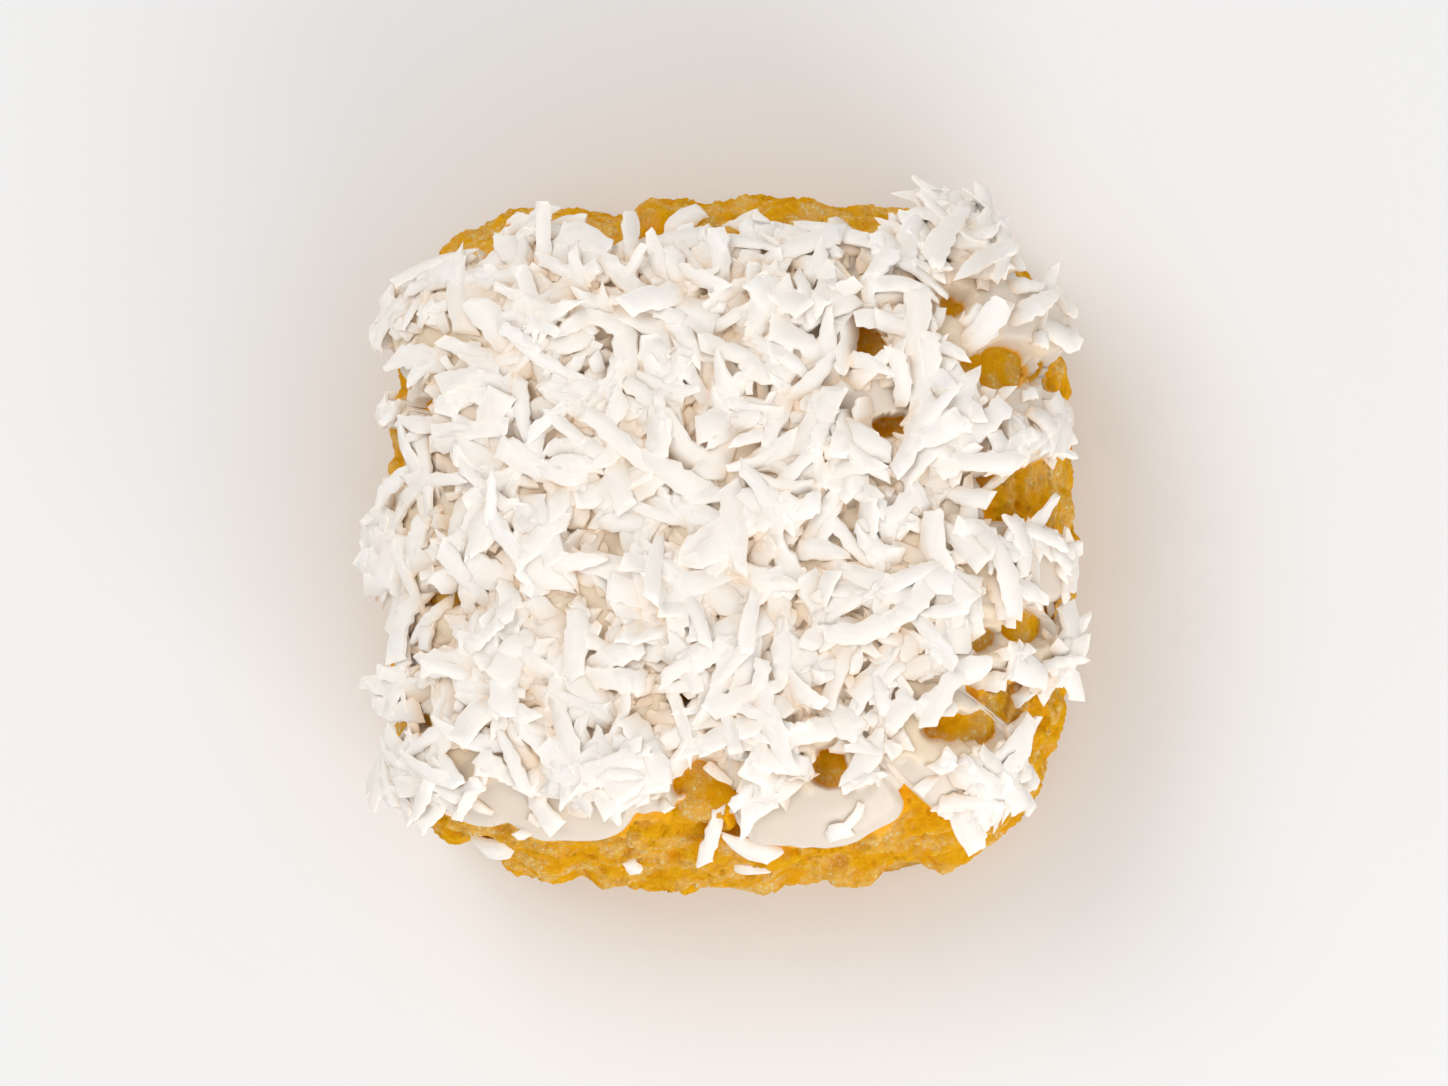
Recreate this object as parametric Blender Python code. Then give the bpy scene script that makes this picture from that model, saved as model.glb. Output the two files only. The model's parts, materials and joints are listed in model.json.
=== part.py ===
"""A square slice of sponge cake with white icing and a heap of shredded coconut.

Metres, +Z up. The origin is at the middle of the base. The photograph's near edge is at -Y.
Run with: blender --background --python part.py
"""

import math
import random

import bmesh
import bpy
import numpy as np
from mathutils import Matrix, Vector, noise

# Driving dimensions of the sponge
WIDTH = 0.0800
DEPTH = 0.0792
SPONGE_HEIGHT = 0.0380

# How the sponge is rounded: the plan is a superellipse, and so is the fall from the flat top to the bulge
SQUARENESS = 3.9
SHOULDER = 0.0115
SHOULDER_ROUNDNESS = 1.8
BULGE_HEIGHT = 0.0100
BASE_TUCK = 0.0016
PLAN_WAVES = ((2, 0.0006, math.pi), (3, 0.0004, 0.0), (5, 0.0004, 0.0))

# Crumb torn out of the bare sponge. A bite is (angle, half width in degrees, depth) along the bulge
CRAG_SIZE = 0.0055
CRAG_DEPTH = 0.0018
CRAG_CLEARANCE = 0.0005
CRAG_BLEND = 0.0035
BITE_HEIGHT = 0.0140
BITE_SPREAD = 0.0140
SMOOTH_FOOT = 0.0020
BITES = (
    (231, 3.5, 0.0022),
    (246, 2.5, 0.0014),
    (283, 3.2, 0.0030),
    (298, 4.0, 0.0040),
    (71, 3.0, 0.0016),
    (108, 4.5, 0.0026),
)

# Icing and the bed of coconut on it
GAP = 0.00035
ICING_THICKNESS = 0.0020
ICING_EDGE = 0.0009
ICING_ROOT = 0.0012
BED_THICKNESS = 0.0018
DOME = 0.0018
BED_WAVE = 0.0120
BED_WAVE_HEIGHT = 0.0007
BED_FALL = 0.0060
BED_START = 0.0033
RIM_WIDTH = 0.0035
ICING_REACH = 0.0010
# A lobe is (angle, half width in degrees, reach down the side past the edge of the flat top)
LOBES = (
    (241, 13, 0.0046),
    (291, 16, 0.0046),
    (319, 10, 0.0125),
    (342, 7.5, 0.0160),
    (356, 8, 0.0195),
    (20, 6.5, 0.0190),
    (34, 9, 0.0195),
    (51, 11, 0.0180),
    (74, 14, 0.0056),
    (99, 13, 0.0050),
    (128, 17, 0.0115),
    (145, 7.5, 0.0170),
    (160, 5, 0.0190),
    (180, 46, 0.0080),
    (180, 11, 0.0205),
    (205.5, 4, 0.0150),
    (217, 7, 0.0140),
    (225, 9, 0.0080),
)
LOBE_ROUNDNESS = 2.3
LOBE_BLEND = 5
# Where icing and coconut are piled thicker: (x, y, radius, extra thickness) in plan
CLUMPS = (
    (0.0310, 0.0330, 0.0060, 0.0026),
    (0.0350, -0.0315, 0.0050, 0.0026),
    (-0.0330, 0.0320, 0.0060, 0.0018),
    (-0.0345, -0.0275, 0.0055, 0.0014),
    (0.0370, 0.0240, 0.0040, 0.0010),
)

# Shredded coconut: the largest shreds, spread evenly over the icing
SHREDS = 125
SHRED_LENGTH = (0.0070, 0.0130)
SHRED_WIDTH = (0.0019, 0.0038)
SHRED_THICKNESS = 0.0008
SHRED_SINK = 0.0004
SHRED_TILT = 20
SHRED_ARCH = 0.0007
SHRED_MARGIN = 0.40
SEED = 3
# Coconut that lies alone on the bare sponge: (x, y, heading in degrees, length, width) in plan
STRAYS = (
    (-0.0002, -0.0330, 80, 0.0075, 0.0020),
    (0.0040, -0.0338, -32, 0.0065, 0.0030),
    (0.0036, -0.0375, 5, 0.0040, 0.0020),
    (-0.0100, -0.0371, 100, 0.0030, 0.0018),
    (-0.0255, -0.0352, 20, 0.0045, 0.0030),
    (-0.0040, 0.0357, 55, 0.0070, 0.0032),
    (0.0020, 0.0369, 30, 0.0060, 0.0020),
    (-0.0215, 0.0362, -35, 0.0065, 0.0022),
    (0.0150, 0.0352, 125, 0.0060, 0.0020),
)

# Mesh fineness
COLUMNS = 96
FINE_COLUMNS = 1440
SIDE_RINGS = 12
ICING_SIDE_RINGS = 6
ICING_TOP_RINGS = 3
PROFILE_STEPS = 200
WELD = 2e-6
SHARP_ANGLE = math.radians(35)
GOLDEN_ANGLE = math.pi * (3 - math.sqrt(5))


def clear_scene():
    for obj in list(bpy.data.objects):
        bpy.data.objects.remove(obj, do_unlink=True)


def material(name, colour, roughness):
    made = bpy.data.materials.new(name)
    made.use_nodes = True
    shader = made.node_tree.nodes["Principled BSDF"]
    shader.inputs["Base Color"].default_value = (*colour, 1.0)
    shader.inputs["Roughness"].default_value = roughness
    shader.inputs["Metallic"].default_value = 0.0
    return made


def side_profile():
    """(reach, inset, height) down the side, from the flat top's edge to the base. Reach is the length so far."""
    turn = np.linspace(0, math.pi / 2, PROFILE_STEPS)
    power = 2 / SHOULDER_ROUNDNESS
    fall = SPONGE_HEIGHT - BULGE_HEIGHT
    inset = SHOULDER * (1 - np.sin(turn) ** power)
    height = BULGE_HEIGHT + fall * np.cos(turn) ** power
    share = np.linspace(0, 1, PROFILE_STEPS)[1:]
    inset = np.concatenate([inset, BASE_TUCK * share**2])
    height = np.concatenate([height, BULGE_HEIGHT * (1 - share)])
    steps = np.hypot(np.diff(inset), np.diff(height))
    return np.concatenate([[0], np.cumsum(steps)]), inset, height


REACHES, INSETS, HEIGHTS = side_profile()
SIDE_LENGTH = float(REACHES[-1])


def plan_radius(angle, inset):
    """Distance from the middle to the cake's outline, drawn in by inset."""
    across = (np.abs(np.cos(angle)) / (WIDTH / 2 - inset)) ** SQUARENESS
    along = (np.abs(np.sin(angle)) / (DEPTH / 2 - inset)) ** SQUARENESS
    radius = (across + along) ** (-1 / SQUARENESS)
    for times, swing, start in PLAN_WAVES:
        radius = radius + swing * np.cos(times * angle + start)
    return radius


def smooth_surface(angle, reach):
    """Points of the sponge before its crags. Reach is negative on the flat top and positive down the side."""
    inset = np.where(reach < 0, SHOULDER, np.interp(reach, REACHES, INSETS))
    height = np.where(reach < 0, SPONGE_HEIGHT, np.interp(reach, REACHES, HEIGHTS))
    radius = np.maximum(plan_radius(angle, inset) + np.minimum(reach, 0), 0)
    return np.stack([radius * np.cos(angle), radius * np.sin(angle), height], axis=-1)


def surface_normal(angle, reach, step=1e-4):
    """Outward directions of the smooth surface."""
    around = smooth_surface(angle + step, reach) - smooth_surface(angle - step, reach)
    down = smooth_surface(angle, reach + step) - smooth_surface(angle, reach - step)
    normal = np.cross(down, around)
    length = np.linalg.norm(normal, axis=-1, keepdims=True)
    up = np.broadcast_to([0.0, 0.0, 1.0], normal.shape)
    return np.where(length > 1e-12, normal / np.maximum(length, 1e-12), up)


def even_angles(count):
    """Angles of points that lie evenly along the outline."""
    fine = np.linspace(0, 2 * math.pi, FINE_COLUMNS + 1)
    outline = smooth_surface(fine, np.full_like(fine, SIDE_LENGTH))
    steps = np.linalg.norm(np.diff(outline, axis=0), axis=1)
    run = np.concatenate([[0], np.cumsum(steps)])
    return np.interp(np.arange(count) / count * run[-1], run, fine)


def turn_between(angle, middle):
    """How far angle is from middle, in degrees, the short way round."""
    return (np.degrees(angle) - middle + 180) % 360 - 180


def icing_reach(angle):
    """How far the icing runs down the side: round lobes that merge where they meet."""
    total = np.zeros_like(angle)
    for middle, half_width, reach in LOBES:
        share = np.abs(turn_between(angle, middle) / half_width)
        rounded = np.clip(1 - share**LOBE_ROUNDNESS, 0, None) ** (1 / LOBE_ROUNDNESS)
        total += (reach * rounded) ** LOBE_BLEND
    return ICING_REACH + total ** (1 / LOBE_BLEND)


def ease(share):
    share = np.clip(share, 0, 1)
    return share * share * (3 - 2 * share)


def bare_share(angle, reach):
    """0 under the icing, 1 where the sponge is bare."""
    return ease((reach - icing_reach(angle) - CRAG_CLEARANCE) / CRAG_BLEND)


def crag_depth(angle, reach, points):
    """How deep the torn crumb lies below the smooth surface."""
    rough = np.array([noise.noise(Vector(p) / CRAG_SIZE) for p in points])
    depth = CRAG_DEPTH * (0.5 - rough)
    height = np.interp(reach, REACHES, HEIGHTS)
    bulge = ease(1 - np.abs(height - BITE_HEIGHT) / BITE_SPREAD)
    for middle, half_width, bite in BITES:
        share = turn_between(angle, middle) / half_width
        depth = depth + bite * np.exp(-(share**2)) * bulge
    return depth * bare_share(angle, reach) * ease(height / SMOOTH_FOOT)


def closed_mesh(name, rings, first_pole, last_pole):
    """A closed mesh from rings of points between two poles, the first pole at the underside."""
    bm = bmesh.new()
    rows = [[bm.verts.new(p) for p in ring] for ring in rings]
    first, last = bm.verts.new(first_pole), bm.verts.new(last_pole)
    for column in range(len(rows[0])):
        after = (column + 1) % len(rows[0])
        bm.faces.new((first, rows[0][after], rows[0][column]))
        bm.faces.new((last, rows[-1][column], rows[-1][after]))
        for low, high in zip(rows, rows[1:]):
            bm.faces.new((low[column], low[after], high[after]))
            bm.faces.new((low[column], high[after], high[column]))
    bmesh.ops.recalc_face_normals(bm, faces=bm.faces)
    mesh = bpy.data.meshes.new(name)
    bm.to_mesh(mesh)
    bm.free()
    return mesh


def new_object(name, mesh, finish):
    mesh.materials.append(finish)
    mesh.shade_smooth()
    mesh.set_sharp_from_angle(angle=SHARP_ANGLE)
    obj = bpy.data.objects.new(name, mesh)
    bpy.context.scene.collection.objects.link(obj)
    return obj


def make_sponge(finish):
    angles = even_angles(COLUMNS)
    rings = []
    for reach in np.linspace(SIDE_LENGTH, 0, SIDE_RINGS + 1):
        reaches = np.full(COLUMNS, reach)
        points = smooth_surface(angles, reaches)
        depth = crag_depth(angles, reaches, points)
        rings.append(points - surface_normal(angles, reaches) * depth[:, None])
    half_way = -plan_radius(angles, SHOULDER) / 2
    rings.append(smooth_surface(angles, half_way))
    mesh = closed_mesh("sponge", rings, (0, 0, 0), (0, 0, SPONGE_HEIGHT))
    return new_object("sponge", mesh, finish)


def bed_height(angle, reach, points):
    """Thickness of icing and coconut bed above the sponge."""
    inside = ease((BED_START - reach) / BED_FALL)
    near_edge = ease((icing_reach(angle) - reach) / RIM_WIDTH)
    wave = np.array([noise.noise(Vector(p) / BED_WAVE) for p in points])
    dome = DOME * ease(-reach / plan_radius(angle, SHOULDER))
    thick = ICING_THICKNESS + dome + inside * (BED_THICKNESS + BED_WAVE_HEIGHT * wave)
    for x, y, radius, extra in CLUMPS:
        away = np.hypot(points[..., 0] - x, points[..., 1] - y) / radius
        thick = thick + extra * np.exp(-(away**2))
    return ICING_EDGE + (thick - ICING_EDGE) * near_edge


def outer_surface(angle, reach):
    points = smooth_surface(angle, reach)
    lift = GAP + bed_height(angle, reach, points)
    return points + surface_normal(angle, reach) * lift[..., None]


def make_icing(finish):
    """The sheet of icing. Its underside lies inside the sponge, which is carved out of it later."""
    angles = even_angles(COLUMNS)
    edge = icing_reach(angles)
    middle = -plan_radius(angles, SHOULDER)
    rings = []
    for reach in (middle / 2, edge * 0, edge / 2, edge):
        rings.append(smooth_surface(angles, reach) - surface_normal(angles, reach) * ICING_ROOT)
    for share in np.linspace(1, 0, ICING_SIDE_RINGS + 1):
        rings.append(outer_surface(angles, edge * share))
    for share in np.linspace(0, 1, ICING_TOP_RINGS + 1)[1:-1]:
        rings.append(outer_surface(angles, middle * share))
    top = SPONGE_HEIGHT + GAP + ICING_THICKNESS + BED_THICKNESS + DOME
    mesh = closed_mesh("icing", rings, (0, 0, SPONGE_HEIGHT - ICING_ROOT), (0, 0, top))
    return new_object("icing", mesh, finish)


def strip_mesh(name, length, width, arch, tip_width):
    """A shred: a thin strip of three stations, arched in the middle and narrower at its tip."""
    bm = bmesh.new()
    stations = ((-0.5, 1.0, 0.0), (0.0, 1.0, arch), (0.5, tip_width, 0.0))
    rows = []
    for along, wide, lift in stations:
        half, thick = width * wide / 2, SHRED_THICKNESS / 2
        corners = ((-half, -thick), (half, -thick), (half, thick), (-half, thick))
        rows.append([bm.verts.new((along * length, y, z + lift)) for y, z in corners])
    for low, high in zip(rows, rows[1:]):
        for corner in range(4):
            after = (corner + 1) % 4
            bm.faces.new((low[corner], low[after], high[after], high[corner]))
    bm.faces.new(rows[0])
    bm.faces.new(rows[-1])
    bmesh.ops.recalc_face_normals(bm, faces=bm.faces)
    mesh = bpy.data.meshes.new(name)
    bm.to_mesh(mesh)
    bm.free()
    return mesh


def lay_strip(mesh, collection, place, normal, heading, tilt):
    """Puts a strip on the surface at place, with its heading in plan, raised by tilt at one end."""
    normal = Vector(normal).normalized()
    across = normal.cross(Vector((math.cos(heading), math.sin(heading), 0.0))).normalized()
    turn = Matrix((across.cross(normal), across, normal)).transposed() @ Matrix.Rotation(-tilt, 3, "Y")
    strip = bpy.data.objects.new(mesh.name, mesh)
    strip.matrix_world = Matrix.Translation(place) @ turn.to_4x4()
    collection.objects.link(strip)


def scatter_shreds(collection, chance):
    """The largest shreds, on a sunflower spiral over the whole sheet of icing."""
    for number in range(SHREDS):
        angle = np.array([(number * GOLDEN_ANGLE) % (2 * math.pi)])
        length = chance.uniform(*SHRED_LENGTH)
        inner = plan_radius(angle, SHOULDER)
        sheet = inner + icing_reach(angle) - SHRED_MARGIN * length
        reach = math.sqrt((number + 0.5) / SHREDS) * sheet - inner
        width = chance.uniform(*SHRED_WIDTH)
        tilt = math.radians(chance.uniform(0, SHRED_TILT)) if reach[0] < 0 else 0.0
        mesh = strip_mesh(
            f"shred_{number}", length, width, chance.uniform(0, SHRED_ARCH), chance.uniform(0.3, 1.0)
        )
        normal = surface_normal(angle, reach)[0]
        lift = length / 2 * math.sin(tilt) + SHRED_THICKNESS / 2 - SHRED_SINK
        place = outer_surface(angle, reach)[0] + normal * lift
        lay_strip(mesh, collection, place, normal, chance.uniform(0, math.pi), tilt)


def scatter_strays(collection, chance):
    """Coconut that fell on the bare near and far sides."""
    to_bulge = HEIGHTS >= BULGE_HEIGHT
    for x, y, heading, length, width in STRAYS:
        angle = np.array([math.atan2(y, x)])
        radii = plan_radius(angle, INSETS[to_bulge])
        reach = np.interp([math.hypot(x, y)], radii, REACHES[to_bulge])
        mesh = strip_mesh("stray", length, width, 0.0, chance.uniform(0.5, 1.0))
        normal = surface_normal(angle, reach)[0]
        point = smooth_surface(angle, reach)
        depth = crag_depth(angle, reach, point)[0]
        place = point[0] + normal * (SHRED_THICKNESS / 2 - SHRED_SINK - depth)
        lay_strip(mesh, collection, place, normal, math.radians(heading), 0.0)


def apply_boolean(obj, operation, collection):
    """Joins a collection's objects to obj or cuts them out of it, then removes them."""
    step = obj.modifiers.new("step", "BOOLEAN")
    step.operation = operation
    step.solver = "EXACT"
    step.operand_type = "COLLECTION"
    step.collection = collection
    bpy.context.view_layer.update()
    graph = bpy.context.evaluated_depsgraph_get()
    made = bpy.data.meshes.new_from_object(obj.evaluated_get(graph))
    obj.modifiers.clear()
    obj.data = made
    for helper in list(collection.objects):
        bpy.data.objects.remove(helper, do_unlink=True)
    bpy.data.collections.remove(collection)
    keep_largest_body(made)


def new_collection(name):
    made = bpy.data.collections.new(name)
    bpy.context.scene.collection.children.link(made)
    return made


def fuse(obj, scatter, chance):
    """Joins scattered strips to the object they lie on, by one Boolean union."""
    strips = new_collection("strips")
    scatter(strips, chance)
    apply_boolean(obj, "UNION", strips)


def carve(obj, inner):
    """Cuts the inner object out of obj, with a gap all round it."""
    mesh = inner.data.copy()
    normals = [vertex.normal.copy() for vertex in mesh.vertices]
    for vertex, normal in zip(mesh.vertices, normals):
        vertex.co += normal * GAP
    cutters = new_collection("cutters")
    cutters.objects.link(bpy.data.objects.new("cutter", mesh))
    apply_boolean(obj, "DIFFERENCE", cutters)


def keep_largest_body(mesh):
    """Drops loose scraps and fills sealed hollows, by keeping the one largest shell."""
    bm = bmesh.new()
    bm.from_mesh(mesh)
    bmesh.ops.remove_doubles(bm, verts=bm.verts, dist=WELD)
    left = set(bm.faces)
    shells = []
    while left:
        shell, front = set(), [left.pop()]
        while front:
            face = front.pop()
            shell.add(face)
            near = {f for edge in face.edges for f in edge.link_faces} & left
            left -= near
            front.extend(near)
        shells.append(shell)
    shells.sort(key=len, reverse=True)
    for shell in shells[1:]:
        bmesh.ops.delete(bm, geom=list(shell), context="FACES")
    bmesh.ops.triangulate(bm, faces=bm.faces)
    bm.to_mesh(mesh)
    bm.free()


def centre_over_origin(objects):
    """Moves the meshes together so that the middle of the whole base is at the origin."""
    corners = np.array([v.co for obj in objects for v in obj.data.vertices])
    middle = (corners.min(axis=0) + corners.max(axis=0)) / 2
    for obj in objects:
        obj.data.transform(Matrix.Translation((-middle[0], -middle[1], 0)))


def main():
    clear_scene()
    chance = random.Random(SEED)
    sponge = make_sponge(material("golden_sponge", (0.72, 0.33, 0.02), 0.55))
    icing = make_icing(material("coconut_icing", (0.88, 0.83, 0.76), 0.45))
    fuse(icing, scatter_shreds, chance)
    carve(icing, sponge)
    fuse(sponge, scatter_strays, chance)
    centre_over_origin([sponge, icing])


main()
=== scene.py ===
"""The looks of a square sponge cake with lobed white icing and a heap of shredded coconut.

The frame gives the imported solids. Each piece here stands for one of them, in metres, +Z up, with the
near edge at -Y. The file is laid out as an add-on, with one operator for each piece, and is run as a script.
"""

import json
import math

import bmesh
import bpy
import numpy as np
from mathutils import Matrix, Vector, kdtree, noise

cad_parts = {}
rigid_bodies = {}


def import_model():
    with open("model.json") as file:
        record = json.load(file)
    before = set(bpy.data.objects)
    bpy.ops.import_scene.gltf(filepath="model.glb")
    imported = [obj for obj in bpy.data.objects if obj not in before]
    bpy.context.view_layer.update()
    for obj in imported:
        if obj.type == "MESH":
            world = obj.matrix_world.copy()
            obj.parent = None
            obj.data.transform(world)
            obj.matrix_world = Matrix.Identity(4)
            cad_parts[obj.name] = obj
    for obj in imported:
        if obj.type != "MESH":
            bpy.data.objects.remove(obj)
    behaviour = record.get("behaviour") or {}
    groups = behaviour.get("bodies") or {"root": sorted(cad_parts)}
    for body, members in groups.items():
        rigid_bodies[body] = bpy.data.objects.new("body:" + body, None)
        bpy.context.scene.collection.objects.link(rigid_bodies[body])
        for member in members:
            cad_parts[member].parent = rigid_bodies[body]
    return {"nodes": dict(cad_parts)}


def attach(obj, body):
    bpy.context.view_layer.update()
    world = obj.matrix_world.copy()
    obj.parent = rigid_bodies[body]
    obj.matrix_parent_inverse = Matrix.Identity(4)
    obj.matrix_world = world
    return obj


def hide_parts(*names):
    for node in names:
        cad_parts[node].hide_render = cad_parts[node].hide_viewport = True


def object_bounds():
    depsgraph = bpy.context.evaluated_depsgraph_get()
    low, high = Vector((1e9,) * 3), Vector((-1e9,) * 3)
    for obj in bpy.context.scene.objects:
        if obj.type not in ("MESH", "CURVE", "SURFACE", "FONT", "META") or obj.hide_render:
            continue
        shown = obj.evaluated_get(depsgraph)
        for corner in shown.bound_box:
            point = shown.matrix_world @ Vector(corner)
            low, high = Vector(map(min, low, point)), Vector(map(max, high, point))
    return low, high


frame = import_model()

bl_info = {
    "name": "Sponge cake with coconut",
    "version": (1, 0, 0),
    "blender": (4, 5, 0),
    "location": "View3D > Sidebar > Cake",
    "description": "Builds an iced sponge cake topped with shredded coconut",
    "category": "Add Mesh",
}

BODY = "root"
CAD_BOX = [np.array(corner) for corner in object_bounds()]

# The sponge's form: a superellipse plan, and a superellipse fall from the flat top to the bulge
WIDTH = 0.0800
DEPTH = 0.0792
SPONGE_HEIGHT = 0.0380
SQUARENESS = 3.9
SHOULDER = 0.0115
SHOULDER_ROUNDNESS = 1.8
BULGE_HEIGHT = 0.0100
BASE_TUCK = 0.0016
PLAN_WAVES = ((2, 0.0006, math.pi), (3, 0.0004, 0.0), (5, 0.0004, 0.0))
PROFILE_STEPS = 200

# Crumb torn out of the bare sponge. A bite is (angle, half width in degrees, depth) along the bulge
CRAG_SIZE = 0.0055
CRAG_DEPTH = 0.0018
CRAG_START = 0.0005
CRAG_FADE = 0.0035
BITE_HEIGHT = 1.4 * BULGE_HEIGHT
BITE_REACH = 0.0140
FOOT_FADE = 0.0020
BITES = (
    (231, 3.5, 0.0022),
    (246, 2.5, 0.0014),
    (283, 3.2, 0.0030),
    (298, 4.0, 0.0040),
    (71, 3.0, 0.0016),
    (108, 4.5, 0.0026),
)

# A lobe of icing is (angle, half width in degrees, reach down the side past the edge of the flat top)
ICING_REACH = 0.0010
LOBES = (
    (241, 13, 0.0046),
    (291, 16, 0.0046),
    (319, 10, 0.0125),
    (342, 7.5, 0.0160),
    (356, 8, 0.0195),
    (20, 6.5, 0.0190),
    (34, 9, 0.0195),
    (51, 11, 0.0180),
    (74, 14, 0.0056),
    (99, 13, 0.0050),
    (128, 17, 0.0115),
    (145, 7.5, 0.0170),
    (160, 5, 0.0190),
    (180, 46, 0.0080),
    (180, 11, 0.0205),
    (205.5, 4, 0.0150),
    (217, 7, 0.0140),
    (225, 9, 0.0080),
)
LOBE_ROUNDNESS = 2.3
LOBE_BLEND = 5
HOLE_DEPTH = 0.0008

# How uneven the icing, its cover of coconut and its spots are, each as ripples (swing, size, seed)
EDGE_RIPPLES = ((0.0004, 0.0080, 5), (0.00016, 0.0028, 6))
THICKNESS_RIPPLES = ((0.14, 0.011, 8),)
BED_RIPPLES = ((0.3, 0.010, 9),)
LUMP_RIPPLES = ((0.00022, 0.0024, 10),)
COVER_RIPPLES = ((0.9, 0.012, 12),)
SPOT_RIPPLES = ((0.26, 0.0055, 13), (0.10, 0.0022, 14))
SPOT_REACH = 1.15
SPOT_FADE = 0.3

# Where things begin from the icing's edge and how soon they are full, as (start, fade) or the fade alone
BARE_CRUMB = (-0.0012, 0.0028)
WET_CRUMB = 0.0035
BED = (0.0020, 0.0040)
LUMPS = 0.0050
COVER = (0.0006, 0.0022)
FALLEN_REACH = 0.0060
FOOT_CRUMB = 0.0015

# The right side, as (start, fade) of how far right a direction points
RIGHT_SIDE = (0.55, 0.2)
# How thickly coconut lies where it is thinnest and past the icing's right edge, and how bare smooth icing is
LEAST_COVER = 0.45
FALLEN_COVER = 0.25
SMOOTH_BARE = 0.92
# How open smooth icing counts, and sponge past the icing's edge on the left and on the right
SMOOTH_OPEN = 0.13
SPONGE_OPEN = (0.7, 0.2)
# The bed under the coconut: how soon it fills towards the middle, its share at the flat top's edge before
# it is eased, and how much of it smooth icing takes away
BED_FADE = 0.006
BED_AT_EDGE = 0.55
SMOOTH_BED = 0.5
# How open the crumb is in thin spots, and how dry
SPOT_CRUMB = 0.4
SPOT_DRY = 0.8

# Where icing and coconut are piled thicker: (x, y, radius, extra thickness) in plan
CLUMPS = (
    (0.0310, 0.0330, 0.0060, 0.0026),
    (0.0350, -0.0315, 0.0050, 0.0026),
    (-0.0330, 0.0320, 0.0060, 0.0018),
    (-0.0345, -0.0275, 0.0055, 0.0014),
    (0.0370, 0.0240, 0.0040, 0.0010),
    (0.0165, 0.0160, 0.0055, 0.0017),
    (0.0340, 0.0255, 0.0045, 0.0010),
    (0.0350, 0.0153, 0.0040, 0.0010),
    (0.0112, -0.0300, 0.0070, 0.0007),
    (-0.0178, -0.0300, 0.0070, 0.0007),
)

# Where the icing shows smooth, with no coconut on it: (x, y, half length, half depth) in plan
SMOOTH_ICING = (
    (0.0165, 0.0160, 0.0062, 0.0028),
    (0.0340, 0.0253, 0.0045, 0.0034),
    (0.0360, 0.0153, 0.0036, 0.0032),
    (0.0362, -0.0030, 0.0032, 0.0034),
    (-0.0178, -0.0312, 0.0105, 0.0048),
    (0.0112, -0.0312, 0.0110, 0.0050),
    (0.0240, -0.0262, 0.0040, 0.0022),
)
# Where the sponge shows through the icing: (x, y, half length, half depth) in plan
THIN_SPOTS = (
    (-0.0008, -0.0288, 0.0031, 0.0043),
    (0.0275, -0.0200, 0.0036, 0.0019),
    (0.0130, -0.0250, 0.0028, 0.0019),
    (0.0294, -0.0107, 0.0013, 0.0012),
    (0.0335, -0.0092, 0.0020, 0.0020),
    (-0.0294, -0.0064, 0.0022, 0.0010),
    (-0.0312, -0.0197, 0.0013, 0.0010),
    (-0.0026, -0.0172, 0.0013, 0.0008),
    (-0.0305, 0.0149, 0.0011, 0.0009),
    (0.0172, 0.0222, 0.0018, 0.0018),
    (0.0259, 0.0255, 0.0014, 0.0014),
    (0.0193, 0.0126, 0.0022, 0.0012),
    (0.0312, 0.0188, 0.0042, 0.0022),
    (-0.0385, 0.0195, 0.0038, 0.0028),
    (-0.0370, 0.0100, 0.0054, 0.0036),
    (-0.0388, -0.0110, 0.0032, 0.0040),
    (-0.0395, -0.0165, 0.0026, 0.0036),
    (-0.0385, -0.0225, 0.0032, 0.0026),
    (-0.0268, 0.0343, 0.0044, 0.0028),
    (-0.0288, 0.0308, 0.0034, 0.0016),
    (-0.0345, 0.0322, 0.0028, 0.0022),
    (-0.0243, 0.0309, 0.0018, 0.0013),
)

# Coconut that lies alone on the bare sponge: (x, y, heading in degrees, length, width, kind) in plan
STRAYS = (
    (-0.0002, -0.0330, 78, 0.0090, 0.0017, "shred"),
    (0.0040, -0.0338, -28, 0.0068, 0.0027, "flake"),
    (0.0036, -0.0375, 5, 0.0040, 0.0020, "chip"),
    (-0.0100, -0.0371, 100, 0.0030, 0.0018, "chip"),
    (-0.0255, -0.0352, 20, 0.0045, 0.0030, "chip"),
    (-0.0040, 0.0357, 55, 0.0070, 0.0032, "flake"),
    (0.0020, 0.0369, 30, 0.0060, 0.0020, "shred"),
    (-0.0215, 0.0362, -35, 0.0065, 0.0022, "shred"),
    (0.0150, 0.0352, 125, 0.0060, 0.0020, "shred"),
)
STRAY_THICKNESS = 0.0005

# Coconut of each kind: (length, width, thickness), lowest and highest
COCONUT_KINDS = {
    "shred": ((0.0052, 0.0108), (0.0014, 0.0028), (0.00035, 0.00050)),
    "flake": ((0.0050, 0.0094), (0.0027, 0.0039), (0.00035, 0.00045)),
    "chip": ((0.0018, 0.0044), (0.0010, 0.0022), (0.00030, 0.00050)),
}
# Its section as (y, z) points, its stations from end to end, and how uneven its sides are
NARROW = ((-1, -1), (1, -1), (0.79, 1), (-0.79, 1))
BROAD = ((-1, -1), (0, -1), (1, -1), (0.85, 1), (0, 1), (-0.85, 1))
SECTIONS = {"shred": NARROW, "flake": BROAD, "chip": NARROW}
STATIONS = {
    "shred": (-1, -0.88, -0.7, -0.55, -0.4, -0.25, -0.08, 0.08, 0.22, 0.4, 0.55, 0.72, 0.87, 1),
    "flake": (-1, -0.85, -0.62, -0.4, -0.14, 0.12, 0.38, 0.62, 0.84, 1),
    "chip": (-1, -0.66, -0.25, 0.2, 0.68, 1),
}
RAGGED = {"shred": 0.19, "flake": 0.14, "chip": 0.18}
TORN = {"shred": 0.06, "flake": 0.09, "chip": 0.11}
BEVEL = 0.03
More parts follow.
